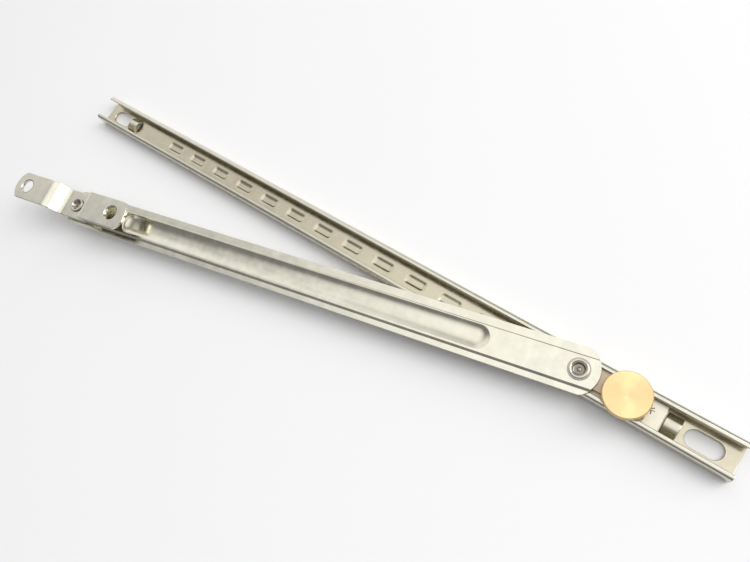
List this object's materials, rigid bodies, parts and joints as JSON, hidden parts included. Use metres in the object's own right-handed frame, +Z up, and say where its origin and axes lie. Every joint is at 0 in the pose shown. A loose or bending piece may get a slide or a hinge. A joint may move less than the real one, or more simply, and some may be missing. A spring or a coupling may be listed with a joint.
{
  "type": "friction stay hinge",
  "caption": "Sliding window stay: pressed steel arm on a thumb-screw slider in a dimpled channel track, with a pivoting sash bracket.",
  "frame": {"origin": "centre of the track's underside, halfway along its length", "axes": "+X along the track towards the end where the slider rests, +Y across the track away from the open arm, +Z up out of the channel's open side"},
  "size_m": [0.3007, 0.0673, 0.0161],
  "materials": {
    "satin_steel": "satin stainless steel with a faint warm tint",
    "slider_steel": "brushed stainless steel",
    "block_metal": "nickel-plated, warm satin",
    "rivet_steel": "polished steel",
    "brass": "turned brass, satin",
    "nylon": "natural nylon"
  },
  "bodies": {
    "track": {"track_channel": "satin_steel"},
    "slider": {"slider_liner": "nylon", "slider_plate": "slider_steel", "slider_block": "block_metal", "pivot_rivet": "rivet_steel", "pivot_washer_lower": "brass"},
    "clamp": {"clamp_pad": "nylon"},
    "screw": {"thumb_screw": "brass", "retaining_ring": "slider_steel"},
    "arm": {"arm": "satin_steel", "pivot_washer_upper": "slider_steel", "end_washer_upper": "nylon", "end_washer_lower": "slider_steel", "end_rivet": "rivet_steel"},
    "bracket": {"end_bracket": "satin_steel"}
  },
  "joints": [
    {"name": "slider_travel", "type": "slide", "parent": "track", "child": "slider", "axis": [1, 0, 0], "range_m": [-0.217, 0]},
    {"name": "clamp_lift", "type": "slide", "parent": "slider", "child": "clamp", "axis": [0, 0, 1], "range_m": [0, 0.0012]},
    {"name": "screw_turn", "type": "hinge", "parent": "clamp", "child": "screw", "pos_m": [0.1158, 0, 0], "axis": [0, 0, 1], "range_deg": [0, 540]},
    {"name": "arm_swing", "type": "hinge", "parent": "slider", "child": "arm", "pos_m": [0.1002, 0, 0], "axis": [0, 0, 1], "range_deg": [-102.05, 77.95]},
    {"name": "bracket_turn", "type": "hinge", "parent": "arm", "child": "bracket", "pos_m": [-0.1173, -0.04643, 0], "axis": [0, 0, 1], "continuous": true}
  ],
  "couplings": [
    {"joint": "clamp_lift", "follows": "screw_turn", "m_per_rad": 0.00012731}
  ]
}
